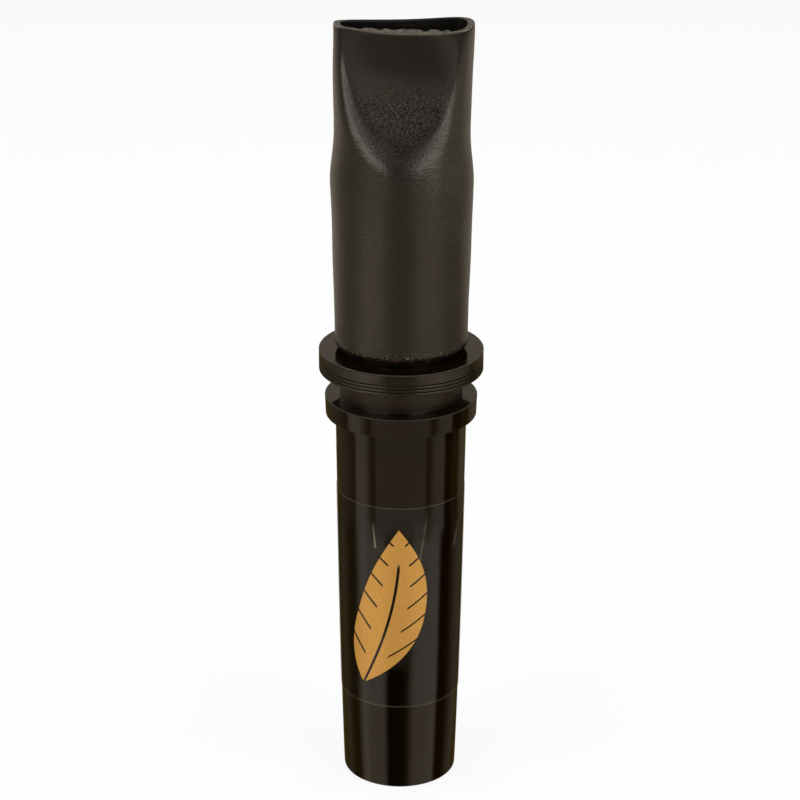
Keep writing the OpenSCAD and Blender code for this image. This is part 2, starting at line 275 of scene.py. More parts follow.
# %% [markdown]
# ## The barrel's plastic
#
# The barrel is turned and polished dark brown plastic. Nearly all of its look is reflection, so the colour is
# close to black and the finish is in the roughness. One even gloss would do for a new one, but a used one is
# hazed by hands, and the tool leaves faint rings round it. So the roughness varies slowly, and the rings are
# a bump that depends on the height alone.
#
# Polishing doesn't reach everywhere. The upper edges of the flanges are a little dull, the floor of the
# lanyard groove is satin and browner, and the three turned lines on the rim hold dust. Each place is a mask
# worked out from the height and the distance to the axis, so nothing has to be painted on the mesh.

# %% Where the barrel is duller
RIM_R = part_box("barrel")[1].x
RIM_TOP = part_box("barrel")[1].z
LINES_Z = RIM_TOP - 2.6 * MM
LINES_HALF_W = 0.9 * MM
LINES_SOFT = 0.1 * MM
LINES_WALL = (RIM_R - 1 * MM, RIM_R - 0.5 * MM)
LINES_FROM_R = RIM_R - 0.01 * MM
LINES_DEPTH = 0.03 * MM
SECOND_R = 13.3 * MM
SECOND_TOP = RIM_TOP - 8.5 * MM
EDGE_FROM = 0.3 * MM
EDGE_TO = 0.2 * MM
EDGE_HALF_H = 0.25 * MM
EDGE_SOFT = 0.1 * MM
GROOVE_R = 10.7 * MM
GROOVE_Z = RIM_TOP - 6.15 * MM
GROOVE_HALF_W = 2.35 * MM
GROOVE_SOFT = 0.2 * MM
GROOVE_REACH = GROOVE_R + 0.4 * MM
GROOVE_FADE = 0.3 * MM


def dull_places(made):
    """Masks of the turned lines, of both flanges' upper edges and of the groove's floor."""
    x, y, z = made.coordinates()
    out = made.from_axis(x, y)
    lines = z.band(LINES_Z, LINES_HALF_W, LINES_SOFT) * out.between(*LINES_WALL)
    lines = lines * (LINES_FROM_R - out).between(0, LINES_DEPTH)
    rim_edge = out.between(RIM_R - EDGE_FROM, RIM_R - EDGE_TO)
    rim_edge = rim_edge * z.between(RIM_TOP - EDGE_FROM, RIM_TOP - EDGE_TO)
    second_edge = out.between(SECOND_R - EDGE_FROM, SECOND_R - EDGE_TO)
    second_edge = second_edge * z.band(SECOND_TOP, EDGE_HALF_H, EDGE_SOFT)
    groove = z.band(GROOVE_Z, GROOVE_HALF_W, GROOVE_SOFT) * (GROOVE_REACH - out).between(0, GROOVE_FADE)
    return lines, rim_edge + second_edge, groove


print("rim radius, mm:", round(RIM_R / MM, 2), "and its top, mm:", round(RIM_TOP / MM, 2))

# %% Polished plastic
GLOSS = 0.05
HAZE = 0.05
LINES_DULL = 0.9
EDGES_DULL = 0.5
GROOVE_DULL = 0.3
LINES_DUST = 0.45
RING_DEPTH = 0.02 * MM
RING_STRENGTH = 0.15


def polished_plastic():
    made = Finish("polished_plastic", Specular_Tint=(1.0, 0.92, 0.8, 1.0), IOR=1.5)
    haze = made.noise(90, 3.0)
    rings = made.noise(1, 3.0, made.stretched(20, 20, 2600))
    lines, edges, groove = dull_places(made)
    plain = made.mix(haze, linear(7, 3, 1), linear(14, 8, 3))
    rough = lines * LINES_DULL + edges * EDGES_DULL + groove * GROOVE_DULL
    normal = made.bump(rings, RING_DEPTH, RING_STRENGTH)
    made.feed_shader(
        Base_Color=made.mix(groove, plain, linear(25, 15, 5)),
        Roughness=GLOSS + HAZE * haze + rough,
        Normal=normal)
    made.deaden(lines * LINES_DUST, linear(9, 6, 3), normal)
    return made


wear("barrel", polished_plastic())

# %% [markdown]
# ## The soft sleeve's form
#
# The sleeve is a soft tube, shrunk over the mouthpiece and pressed flat at the mouth. It could be sculpted,
# or let fall on the core as cloth, but neither gives the same form twice. So its form is a formula: a round
# section whose radius changes slowly, whose front falls in towards the mouth and whose back flattens. The
# crest round the hollow isn't drawn. It is where the round tube and the pressed front meet.

# %% Sizes of the sleeve
SLEEVE_LOW, SLEEVE_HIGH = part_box("mouth_sleeve")
CORE_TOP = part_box("mouthpiece_core")[1].z
WALL = 1.3 * MM
LOW_R = 11.45 * MM
BULGE_R = 12.13 * MM
BULGE_Z = CORE_TOP - 1 * MM
WAIST_HALF_W = 11.56 * MM
WAIST_Z = CORE_TOP + 7.5 * MM
MOUTH_HALF_W = 11.76 * MM
MOUTH_MID_Y = 2.3 * MM
MOUTH_FRONT_D = 7.2 * MM
MOUTH_FRONT_SWELL = 2.8 * MM
MOUTH_BACK_D = 2.1 * MM
MOUTH_BACK_SWELL = 6.9 * MM
SWELL_POWER = 3
CORNER_POWER = 0.7
MOUTH_TURN = math.radians(5)
HOLLOW_Z = CORE_TOP + 5.7 * MM
CREST_ROUND = 2.4 * MM
FALL_POWER = 2.6
BOW_POWER = 2
SIDE_Z = CORE_TOP + 3.6 * MM
SIDE_POWER = 8
BACK_SIDE_POWER = 4
BACK_SLOPE_Z = CORE_TOP + 1.5 * MM
BACK_SLOPE_LEN = 21 * MM
LIP_R = 0.3 * MM
print("sleeve's length, mm:", round((SLEEVE_HIGH.z - SLEEVE_LOW.z) / MM, 2))

# %% The sleeve's sections


def lerp(a, b, share):
    return a + (b - a) * share


def ease(share):
    share = min(max(share, 0), 1)
    return share * share * (3 - 2 * share)


def round_r(z):
    return lerp(LOW_R, BULGE_R, (min(z, BULGE_Z) - SLEEVE_LOW.z) / (BULGE_Z - SLEEVE_LOW.z))


def half_width(z):
    if z < BULGE_Z:
        return round_r(z)
    to_waist = lerp(BULGE_R, WAIST_HALF_W, ease((z - BULGE_Z) / (WAIST_Z - BULGE_Z)))
    return lerp(to_waist, MOUTH_HALF_W, ease((z - WAIST_Z) / (SLEEVE_HIGH.z - WAIST_Z)))


def fall_in(z, across):
    """How far the pressed front lies behind the round tube's, less how far round the section still is."""
    width = half_width(z)
    front_d = MOUTH_FRONT_D + MOUTH_FRONT_SWELL * (1 + across) / 2
    up = (z - HOLLOW_Z) / (SLEEVE_HIGH.z - HOLLOW_Z)
    share = 1 - (1 - min(up, 1)) ** FALL_POWER if up > 0 else FALL_POWER * up
    fall = (MOUTH_MID_Y + MOUTH_HALF_W - front_d) * share
    bow = front_d * min(max(up, 0), 1) ** BOW_POWER
    return fall - (width - bow) * (1 - math.sqrt(max(1 - across * across, 0)))


def rounded_crest(gap):
    """A gap that starts at 0, with the crest between the round and the pressed front rounded."""
    return gap if gap > CREST_ROUND else max(gap + CREST_ROUND, 0) ** 2 / (4 * CREST_ROUND)


def press(z, angle, depth):
    """The place on the pressed sleeve of a point of the straight tube, at a depth into its wall."""
    width = half_width(z) - depth
    c = math.cos(angle)
    s = math.sin(angle)
    side = ease((z - SIDE_Z) / (SLEEVE_HIGH.z - SIDE_Z))
    if s < 0:
        x = width * c
        y = width * s + lerp(rounded_crest(fall_in(z, c)), MOUTH_MID_Y * side, abs(c) ** SIDE_POWER)
    else:
        across = math.copysign(abs(c) ** CORNER_POWER, c)
        back_d = MOUTH_BACK_D + MOUTH_BACK_SWELL * ((1 + across) / 2) ** SWELL_POWER
        flatness = ease((z - BACK_SLOPE_Z) / BACK_SLOPE_LEN)
        flatness = lerp(flatness, side, abs(c) ** BACK_SIDE_POWER)
        x = lerp(width * c, width * across, flatness)
        y = lerp(width * s, MOUTH_MID_Y + (back_d - depth) * s ** CORNER_POWER, flatness)
    return Matrix.Rotation(-MOUTH_TURN * side, 3, "Z") @ Vector((x, y, z))


front_lip = press(SLEEVE_HIGH.z, -math.pi / 2, 0)
print("front of the lip, mm:", [round(side / MM, 2) for side in front_lip])

# %% [markdown]
# ## The sleeve's rings and relief
#
# The tube is made of rings, each with its height and its depth into the wall, up the outside, over the lip,
# down the inside and under. Rings at even steps would waste faces on the plain lower part, so they lie closer
# together in the hollow, because the pebbled grain there is real relief. Elsewhere the skin is finely
# wrinkled across, and slow dents keep its outline from being too true.

# %% The sleeve's rings
SIDES = 320
COARSE_STEP = 0.42 * MM
FINE_STEP = 0.2 * MM
FINE_FROM = HOLLOW_Z - 2.5 * MM
FINE_TO = SLEEVE_HIGH.z - 5 * MM
LIP_STEPS = 4
INNER_RINGS = 26


def levels(low, high, step):
    count = max(1, round((high - low) / step))
    return [lerp(low, high, i / count) for i in range(count)]


def sleeve_rings():
    """Height and depth of each ring: up the outside, over the lip, down the inside and under."""
    low = SLEEVE_LOW.z + LIP_R
    high = SLEEVE_HIGH.z - LIP_R
    outside = levels(low, FINE_FROM, COARSE_STEP) + levels(FINE_FROM, FINE_TO, FINE_STEP)
    outside += levels(FINE_TO, high, COARSE_STEP)
    turn = [math.pi / 2 * i / LIP_STEPS for i in range(LIP_STEPS + 1)]
    top_out = [(high + LIP_R * math.sin(a), LIP_R * (1 - math.cos(a))) for a in turn]
    top_in = [(z, WALL - depth) for z, depth in reversed(top_out)]
    bottom_in = [(low - LIP_R * math.sin(a), WALL - LIP_R * (1 - math.cos(a))) for a in turn]
    bottom_out = [(z, WALL - depth) for z, depth in reversed(bottom_in)]
    inside = [(lerp(high, low, i / INNER_RINGS), WALL) for i in range(1, INNER_RINGS)]
    return [(z, 0) for z in outside] + top_out + top_in + inside + bottom_in + bottom_out[:-1]


print("the sleeve has", len(sleeve_rings()), "rings of", SIDES, "sides")

# %% Relief on the sleeve
GRAIN = 0.027 * MM
GRAIN_PITCH = 0.5 * MM
GRAIN_FALL = 0.5 * MM
GRAIN_RISE = 1 * MM
GRAIN_TOP = SLEEVE_HIGH.z - 5.5 * MM
GRAIN_FADE = 4.5 * MM
GRAIN_ACROSS = 0.93
GRAIN_SIDE_FADE = 0.12
SMALL_GRAIN = 0.5
SMALL_GRAIN_PITCH = 0.45 * GRAIN_PITCH
WRINKLE = 0.03 * MM
WRINKLE_PITCH = 0.8 * MM
WRINKLE_STRETCH = 4
WRINKLE_LEAST = 0.45
WRINKLE_PATCH = 7 * WRINKLE_PITCH
SMOOTH_LIP_Z = SLEEVE_HIGH.z - 6 * MM
SMOOTH_LIP_FADE = 5 * MM
DENT = 0.12 * MM
DENT_PITCH = 9 * MM
DENT_FADE = 1.5 * MM


def grain_share(at, across):
    """1 where the hollow is pebbled, fading to 0 on the smooth lip and below the hollow."""
    rises = ease((fall_in(at.z, across) - GRAIN_FALL) / GRAIN_RISE)
    fades = ease((GRAIN_TOP - at.z) / GRAIN_FADE)
    edge = ease((GRAIN_ACROSS - abs(across)) / GRAIN_SIDE_FADE)
    return rises * fades * edge


def relief(at, angle):
    """How far the sleeve's outside stands proud of its plain form."""
    across = math.cos(angle)
    share = grain_share(at, across) if math.sin(angle) < 0 else 0
    grain = noise.noise(at / GRAIN_PITCH) + SMALL_GRAIN * noise.noise(at / SMALL_GRAIN_PITCH)
    stretched = Vector((at.x / WRINKLE_STRETCH, at.y / WRINKLE_STRETCH, at.z)) / WRINKLE_PITCH
    wrinkle = noise.noise(stretched) * (WRINKLE_LEAST + noise.noise(at / WRINKLE_PATCH))
    smooth_lip = ease((SMOOTH_LIP_Z - at.z) / SMOOTH_LIP_FADE)
    away_from_ends = ease((SLEEVE_HIGH.z - at.z) / DENT_FADE) * ease((at.z - SLEEVE_LOW.z) / DENT_FADE)
    dent = noise.noise(at / DENT_PITCH) * away_from_ends
    return GRAIN * grain * share + WRINKLE * wrinkle * (1 - share) * smooth_lip + DENT * dent


print("grain, wrinkles and dents, mm:", [round(depth / MM, 3) for depth in (GRAIN, WRINKLE, DENT)])

# %% [markdown]
# ## Pressing the tube
#
# The sleeve is modelled as it is made. A straight tube comes first: one circle, extruded ring by ring and
# closed on itself, so that it has an outside, a lip and an inside in one skin. Then each point goes to its
# place on the pressed form. The depth into the wall is kept on the mesh as an attribute, because the finish
# needs to know the cut face of the mouth and the inside, which coordinates alone don't tell apart.

# %% Pressing the tube
RAG = 0.28 * MM
RAG_PITCH = 0.9 * MM
RAGGED_TO = SLEEVE_LOW.z + 2 * LIP_R


def straight_tube(rings):
    """A closed tube of unit radius whose rings stand one apart, as a mesh to be pressed."""
    tube = bmesh.new()
    bmesh.ops.create_circle(tube, segments=SIDES, radius=1)
    first = tube.edges[:]
    edges = first
    for _ in range(1, rings):
        made = bmesh.ops.extrude_edge_only(tube, edges=edges)["geom"]
        verts = [part for part in made if isinstance(part, bmesh.types.BMVert)]
        bmesh.ops.translate(tube, verts=verts, vec=(0, 0, 1))
        fresh = set(verts)
        lines = [part for part in made if isinstance(part, bmesh.types.BMEdge)]
        edges = [edge for edge in lines if fresh.issuperset(edge.verts)]
    bmesh.ops.bridge_loops(tube, edges=first + edges)
    return tube


def finished(mesh, name, finish, body, smooth=True):
    """Turns a bmesh into a piece that rides on a body."""
    bmesh.ops.recalc_face_normals(mesh, faces=mesh.faces)
    data = bpy.data.meshes.new(name)
    mesh.to_mesh(data)
    mesh.free()
    data.polygons.foreach_set("use_smooth", [smooth] * len(data.polygons))
    data.materials.append(finish.material)
    piece = bpy.data.objects.new(name, data)
    bpy.context.scene.collection.objects.link(piece)
    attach(piece, body)
    print(name, "has", sum(len(face.vertices) - 2 for face in data.polygons), "triangles")
    return piece


def make_sleeve(finish):
    rings = sleeve_rings()
    tube = straight_tube(len(rings))
    into_wall = tube.verts.layers.float.new("into_wall")
    for vert in tube.verts:
        z, depth = rings[round(vert.co.z)]
        angle = math.atan2(vert.co.y, vert.co.x)
        at = press(z, angle, depth)
        vert[into_wall] = depth / WALL
        if depth < LIP_R:
            at = press(z, angle, depth - relief(at, angle))
        if z < RAGGED_TO:
            at.z += RAG * noise.noise(Vector((at.x, at.y, 0)) / RAG_PITCH)
        vert.co = at
    sleeve = finished(tube, "sleeve_skin", finish, "mouthpiece")
    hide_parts("mouth_sleeve")


print("the lower edge is ragged by up to", round(RAG / MM, 2), "mm")

# %% [markdown]
# ## The sleeve's rubber
#
# Matt rubber is dark, but its skin scatters light at a slant, which shows as pale bands down its sides and on
# the crest of the hollow. It could be one rough black, but then the hollow and the lip would shine as the
# crest does. So the colour stays near black and a broad gloss does most of the work, and a second, plain
# shader takes over in the hollow and on the lip above it, on the rough cut face of the mouth, inside the tube
# and along its frayed lower edge. In the hollow and on the lip its colour is painted sheen, and at the back
# of the cut, along the lower edge and inside the tube the lost gloss is painted shade.
#
# Each of those places is a mask with its limits written as a pair, from 0 to 1. The hollow's edge is a curve
# that climbs steeply at both sides, as the crest does.

# %% Limits of the sleeve's places
FRONT_HALF = (0.5 * MM, -0.5 * MM)
HOLLOW_SQUARED = 6 * MM
HOLLOW_FOURTH = 19 * MM
HOLLOW_LEAN = 3 * MM
GRAINY_RISE = (-2.6 * MM, -0.4 * MM)
GRAINY_DROP = (5 * MM, 12 * MM)
LIP_DROP = (11 * MM, 5 * MM)
CUT_DEPTH = (0.05, 0.25)
CUT_Z = (SLEEVE_HIGH.z - 0.5 * MM, SLEEVE_HIGH.z - 0.3 * MM)
INSIDE_DEPTH = (0.85, 0.95)
MOUTH_LEFT_X = (-9.0 * MM, -10.2 * MM)
MOUTH_RIGHT_X = (9.2 * MM, 10.4 * MM)
MOUTH_BACK_Y = (1.2 * MM, 2.8 * MM)
DULL_MIDDLE = (0.2, 0.06)
DULL_MIDDLE_DROP = 1.8 * MM
DULL_RISE = (0.9 * MM, 2.9 * MM)
DULL_LEFT = (-0.98, -0.8)
DULL_RIGHT = (0.92, 0.7)
# A painted highlight: a paler band inside the right crest, in the dull shader's colour.
PAINTED_HIGHLIGHT_ACROSS = (0.5, 0.68)
PAINTED_HIGHLIGHT_DROP = (8 * MM, 12 * MM)
SHADED_RISE = (1.5 * MM, 6 * MM)
TUFT_LENGTH = 2.6 * MM
FRAYED_UP = (0.85 * MM, 0.4 * MM)
SPECK_UP = (2.4 * MM, 0.9 * MM)
SPECK_NOISE = (0.64, 0.69)
GRAIN_NOISE = (0.38, 0.62)


def sleeve_places(made):
    """The masks of the sleeve, each 1 at its place and 0 away from it."""
    x, y, z = made.coordinates()
    drop = SLEEVE_HIGH.z - z
    across = x / WAIST_HALF_W
    squared = across * across
    edge = squared * HOLLOW_SQUARED + squared * squared * (HOLLOW_FOURTH + across * HOLLOW_LEAN)
    rise = z - HOLLOW_Z - edge
    front = y.between(*FRONT_HALF)
    depth = made.node("Attribute", {"attribute_name": "into_wall"}, output="Fac")
    cut = depth.between(*CUT_DEPTH) * z.between(*CUT_Z)
    inside = depth.between(*INSIDE_DEPTH)
    left = x.between(*MOUTH_LEFT_X)
    right = x.between(*MOUTH_RIGHT_X)
    middle = abs(across).between(*DULL_MIDDLE)
    within = (rise + middle * DULL_MIDDLE_DROP).between(*DULL_RISE) * front * (1 - cut) * (1 - inside)
    speckle = made.noise(3800, 2.0)
    up = z - SLEEVE_LOW.z
    return SimpleNamespace(
        hollow=rise.between(*GRAINY_RISE) * front * drop.between(*GRAINY_DROP),
        lip=drop.between(*LIP_DROP) * front,
        cut=cut,
        inside=inside,
        left=left,
        right=right,
        # the back of the mouth's cut face, dark as painted shade
        back=y.between(*MOUTH_BACK_Y) * (1 - left) * (1 - right),
        within=within * across.between(*DULL_LEFT) * across.between(*DULL_RIGHT),
        # painted shade: the hollow's colour darker towards the crest
        shade=rise.between(*SHADED_RISE),
        # where the crest's painted highlight lies
        painted_highlight=across.between(*PAINTED_HIGHLIGHT_ACROSS) * drop.between(*PAINTED_HIGHLIGHT_DROP),
        # the frayed lower edge, dark as painted shade
        frayed=(up + (made.noise(2100, 2.0) - 0.5) * TUFT_LENGTH).between(*FRAYED_UP),
        specks=speckle.between(*SPECK_NOISE) * up.between(*SPECK_UP),
        speckle=speckle,
        grain=made.noise(4200, 2.0).between(*GRAIN_NOISE))


print("the hollow's grain starts", round((GRAINY_RISE[1] + HOLLOW_Z - CORE_TOP) / MM, 1), "mm above the core")

# %% [markdown]
# ## The rubber's colours
#
# Used rubber is no single black. Where it is cut it is torn and brown. In the hollow and on the lip the dull
# shader's colour is painted sheen: grey between dark pits, darker near the crest as painted shade, with a
# painted highlight inside the right crest. The colours could be painted on an unrolled skin, but that would
# need a picture of the right size beside the model. So the dull shader's colour is built up in layers: the
# hollow's painted sheen first, the torn cut face over it with painted shade at its back, painted shade in the
# frayed edge next and the tube's inside last. Both shaders share one bump, so that the grain doesn't stop
# where the gloss does.

# %% Matt rubber
DARK_SKIN = linear(12, 11, 9)
PALE_SKIN = linear(19, 17, 14)
PALE_DUST = linear(120, 112, 98)
# The lip's and the hollow's colours are painted sheen, darker near the crest as painted shade.
LIP_PAINTED_SHEEN = linear(31, 28, 24)
HOLLOW_PAINTED_SHADE = linear(42, 38, 33)
HOLLOW_PAINTED_SHEEN = linear(56, 53, 46)
CREST_PAINTED_HIGHLIGHT = linear(84, 78, 70)
PIT = linear(18, 16, 13)
TORN_DARK = linear(36, 30, 22)
TORN_PALE = linear(100, 90, 70)
# Painted shade at the back of the cut face and along the frayed lower edge. The inside keeps the skin's own
# colour and loses its gloss, as painted shade.
PAINTED_SHADE_BROWN = linear(24, 12, 8)
INNER_SKIN = linear(12, 12, 10)
PEBBLE = 0.055 * MM
FINE_WRINKLE = 0.045 * MM
SPECKLE = 0.012 * MM
CUT_ROUGHER = 6
SKIN_ROUGHNESS = 0.27
CLOUD_ROUGHNESS = 0.06
CUT_ROUGHNESS = 0.2
TORN_ROUGHNESS = 0.4
PAINTED_HIGHLIGHT_SHARE = 0.5
CUT_DULL = 0.6
BACK_DULLER = 0.2
LEFT_GLOSSIER = 0.6
RIGHT_GLOSSIER = 0.15
FRAYED_DULL = 0.95
WITHIN_DULL = 0.88
INSIDE_DULL = 0.85


def rubber_relief(made, at):
    pebbles = made.noise(3600, 1.5)
    wrinkles = made.noise(1, 2.5, made.stretched(1100, 1100, 3600))
    height = pebbles * at.hollow * PEBBLE + wrinkles * (1 - at.hollow) * (1 - at.lip) * FINE_WRINKLE
    return made.bump(height + at.speckle * (1 - at.lip + at.cut * CUT_ROUGHER) * SPECKLE, 1.0)


def dull_rubber(made, at):
    """The colour where the rubber has no gloss, with its painted sheen, highlight and shade."""
    painted_shading = made.mix(at.shade, HOLLOW_PAINTED_SHADE, HOLLOW_PAINTED_SHEEN)
    painted_shading = made.mix(at.painted_highlight * PAINTED_HIGHLIGHT_SHARE, painted_shading, CREST_PAINTED_HIGHLIGHT)
    painted_sheen = made.mix(at.hollow * (1 - at.grain), made.mix(at.hollow, LIP_PAINTED_SHEEN, painted_shading), PIT)
    torn_and_back_shade = made.mix(at.back, made.mix(at.grain, TORN_DARK, TORN_PALE), PAINTED_SHADE_BROWN)
    with_edge_shade = made.mix(at.frayed, made.mix(at.cut, painted_sheen, torn_and_back_shade), PAINTED_SHADE_BROWN)
    return made.mix(at.inside, with_edge_shade, INNER_SKIN)


def matt_rubber():
    made = Finish("matt_rubber", IOR=1.5, Specular_IOR_Level=0.75, Specular_Tint=(1.0, 0.9, 0.78, 1.0))
    at = sleeve_places(made)
    cloud = made.noise(160, 3.0)
    normal = rubber_relief(made, at)
    torn_roughness = at.cut * (CUT_ROUGHNESS + at.speckle * TORN_ROUGHNESS)
    made.feed_shader(
        Base_Color=made.mix(at.specks, made.mix(cloud, DARK_SKIN, PALE_SKIN), PALE_DUST),
        Roughness=SKIN_ROUGHNESS + CLOUD_ROUGHNESS * cloud + torn_roughness,
        Normal=normal)
    # The back of the cut, the frayed lower edge and the inside lose their gloss as painted shade; the hollow
    # and the lip take the dull shader's painted sheen.
    cut_dull = CUT_DULL + at.back * BACK_DULLER - at.left * LEFT_GLOSSIER - at.right * RIGHT_GLOSSIER
    dull = at.cut * cut_dull + at.frayed * FRAYED_DULL + at.within * WITHIN_DULL
    made.deaden(dull * (1 - at.inside) + at.inside * INSIDE_DULL, dull_rubber(made, at), normal)
    return made


make_sleeve(matt_rubber())

# %% [markdown]
# ## The tone board
#
# The board is sawn from grey-beige plastic, and its end in the mouth is left rough. A bump would give the
# roughness, but the end shows in outline against the dark mouth, where a bump does nothing. The frame's solid
# has the board's true form, so a copy of it is cut into a fine grid near the tip, and the grid is broken up
# there. Its faces stay flat, as a break in hard plastic does.

# %% The rough end of the tone board
BOARD_LOW, BOARD_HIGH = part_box("tone_board")
JOIN_GAP = 0.0005 * MM
GRID = 0.45 * MM
ROUGH_DEPTH = 1.2 * MM
ROUGH_FROM = BOARD_HIGH.z - ROUGH_DEPTH
CHIP = 0.5 * MM
CHIP_PITCH = 1.1 * MM
SMALL_CHIP = 0.6
SMALL_CHIP_TIMES = 2.3
UNBROKEN = 0.25


def copy_of(node_name):
    """A CAD node's mesh with its loose triangles joined."""
    mesh = bmesh.new()
    mesh.from_mesh(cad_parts[node_name].data)
    bmesh.ops.remove_doubles(mesh, verts=mesh.verts, dist=JOIN_GAP)
    return mesh


def slice_tip(mesh, axis, low, high):
    """Cuts the mesh near its upper end with planes across an axis."""
    normal = Vector([1.0 if i == axis else 0.0 for i in AXES])
    for at in levels(low, high, GRID)[1:]:
        faces = [face for face in mesh.faces if max(vert.co.z for vert in face.verts) > BOARD_HIGH.z - GRID]
        parts = set(faces)
        for face in faces:
            parts.update(face.edges)
            parts.update(face.verts)
        bmesh.ops.bisect_plane(mesh, geom=list(parts), plane_co=normal * at, plane_no=normal)


def make_board(finish):
    board = copy_of("tone_board")
    bmesh.ops.bisect_plane(
        board, geom=board.verts[:] + board.edges[:] + board.faces[:],
        plane_co=(0, 0, ROUGH_FROM), plane_no=(0, 0, 1))
    slice_tip(board, 0, BOARD_LOW.x, BOARD_HIGH.x)
    slice_tip(board, 1, BOARD_LOW.y, BOARD_HIGH.y)
    for vert in board.verts:
        rough = ease((vert.co.z - BOARD_HIGH.z + ROUGH_DEPTH) / ROUGH_DEPTH)
        if rough > 0:
            spot = vert.co / CHIP_PITCH
            lump = noise.noise(spot) + SMALL_CHIP * noise.noise(spot * SMALL_CHIP_TIMES)
            vert.co.z += CHIP * rough * min(lump - UNBROKEN, 0)
    piece = finished(board, "tone_board_rough", finish, "mouthpiece", smooth=False)
    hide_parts("tone_board")


print("the board's tip is", round((BOARD_HIGH.x - BOARD_LOW.x) / MM, 1), "mm wide")

# %% [markdown]
# ## Sawn plastic
#
# Sawing leaves fine marks and a chalky bloom in blotches. A photograph of a sawn face could be laid on, but
# two noises do as well and have no edges: one in blotches for the bloom, and one drawn out across for the
# marks.

# %% Sawn plastic
BLOTCHES = (0.35, 0.65)
BLOTCH_SHARE = 0.7
MARK_SHARE = 0.3


def sawn_plastic():
    made = Finish("sawn_plastic", IOR=1.46)
    blotch = made.noise(900, 4.0, roughness=0.7)
    marks = made.noise(1, 2.0, made.stretched(300, 300, 3500))
    made.feed_shader(
        Base_Color=made.mix(blotch.between(*BLOTCHES), linear(22, 19, 14), linear(66, 58, 43)),
        Roughness=0.6 + 0.25 * blotch,
        Normal=made.bump(blotch * BLOTCH_SHARE + marks * MARK_SHARE, 0.12 * MM, 0.6))
    return made


make_board(sawn_plastic())

# %% [markdown]
# ## Core, O-rings, reed and wedge
#
# These show only in the mouth, in the gap under the sleeve and when the mouthpiece is pulled out. One grey
# for all of them would pass in the picture, but every piece can also be seen apart from the others. So each
# has a finish of its own, in which one noise drives the colour and the roughness together: where the surface
# has bloomed or been handled, it is both paler and duller.

# %% Small finishes


def moulded_black():
    made = Finish("moulded_black", Specular_IOR_Level=0.12, Specular_Tint=(1.0, 0.9, 0.78, 1.0))
    haze = made.noise(260, 3.0)
    made.feed_shader(
        Base_Color=made.mix(haze, linear(6, 6, 6), linear(13, 12, 12)),
        Roughness=0.28 + 0.2 * haze,
        Normal=made.bump(made.noise(2400), 0.02 * MM, 0.3))
    return made


def seal_rubber():
    made = Finish("seal_rubber", IOR=1.5)
    bloom = made.noise(500, 4.0)
    made.feed_shader(
        Base_Color=made.mix(bloom, linear(18, 18, 19), linear(38, 38, 38)),
        Roughness=0.35 + 0.25 * bloom,
        Normal=made.bump(bloom, 0.02 * MM, 0.4))
    return made


def reed_film():
    made = Finish("reed_film", IOR=1.57, Alpha=0.82)
    streak = made.noise(1, 3.0, made.stretched(900, 900, 60))
    made.feed_shader(
        Base_Color=made.mix(streak, linear(196, 192, 180), linear(228, 225, 215)),
        Roughness=0.22 + 0.2 * streak,
        Normal=made.bump(streak, 0.02 * MM, 0.3))
    return made


def ivory_plastic():
    made = Finish("ivory_plastic", IOR=1.48)
    mottle = made.noise(400, 4.0)
    made.feed_shader(
        Base_Color=made.mix(mottle, linear(196, 184, 156), linear(222, 212, 188)),
        Roughness=0.4 + 0.2 * mottle,
        Normal=made.bump(mottle, 0.04 * MM, 0.4))
    return made


wear("mouthpiece_core", moulded_black())
rings_finish = seal_rubber()
wear("o_ring_upper", rings_finish)
wear("o_ring_lower", rings_finish)
wear("reed", reed_film())
wear("reed_wedge", ivory_plastic())

# %% [markdown]
# ## The film and its gold print
#
# A thin clear film is wrapped round the barrel, with a print in flat gold ink. The print is a plain feather.
# It could be cut out as a mesh, but a print has no thickness, and its edge would stand off the film. So it is
# drawn by the finish: the barrel is unrolled into a flat sheet, with the distance round it as one axis and
# the height as the other, and the feather is a few curves on that sheet.
#
# The film also has three fine creases that run down from its upper edge, each a thin line between two points
# on the sheet, a little wider at its lower end. Each is a small bump, and its paler colour is a painted
# highlight.

# %% The feather
FILM_LOW, FILM_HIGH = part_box("clear_label")
FILM_R = 11.1 * MM
PRINT_Z = (FILM_LOW.z + FILM_HIGH.z) / 2
PRINT_ROUND = -1.5 * MM
PRINT_HALF_L = 15.5 * MM
PRINT_HALF_W = 6.2 * MM
PRINT_LEAN = 0.22
PRINT_BEND = 2.2 * MM
PRINT_SOFT = 0.05 * MM
TIP_POWER = 2.4
TIP_NARROWER = 0.25
SPINE_HALF_W = 0.28 * MM
SPINE_TO = 0.6
SPINE_FADE = 0.1
BARB_SLOPE = 0.9
BARB_PITCH = 4.6 * MM
SPLIT_HALF_W = 0.06
SPLIT_SOFT = 0.02
SPLIT_FROM = 0.42
SPLIT_FADE = 0.3 * MM


def feather(made, round_it, z):
    """1 where the ink of the feather is, on the unrolled film."""
    up = (z - PRINT_Z) / PRINT_HALF_L
    off = abs(round_it - PRINT_ROUND - up * PRINT_LEAN * PRINT_HALF_L + up * up * PRINT_BEND)
    half_w = (1 - abs(up) ** TIP_POWER) * (1 - up * TIP_NARROWER) * PRINT_HALF_W
    vane = (half_w - off).between(0, PRINT_SOFT)
    spine = (SPINE_HALF_W - off).between(0, PRINT_SOFT) * (SPINE_TO - up).between(0, SPINE_FADE)
    barb = (up * PRINT_HALF_L - off * BARB_SLOPE) / BARB_PITCH
    split = made.node("Math", {"operation": "FRACT"}, [barb]).band(0.5, SPLIT_HALF_W, SPLIT_SOFT)
    split = split * (off - half_w * SPLIT_FROM).between(0, SPLIT_FADE)
    return vane * (1 - spine) * (1 - split)


print("the feather is", round(2 * PRINT_HALF_L / MM, 1), "mm long")

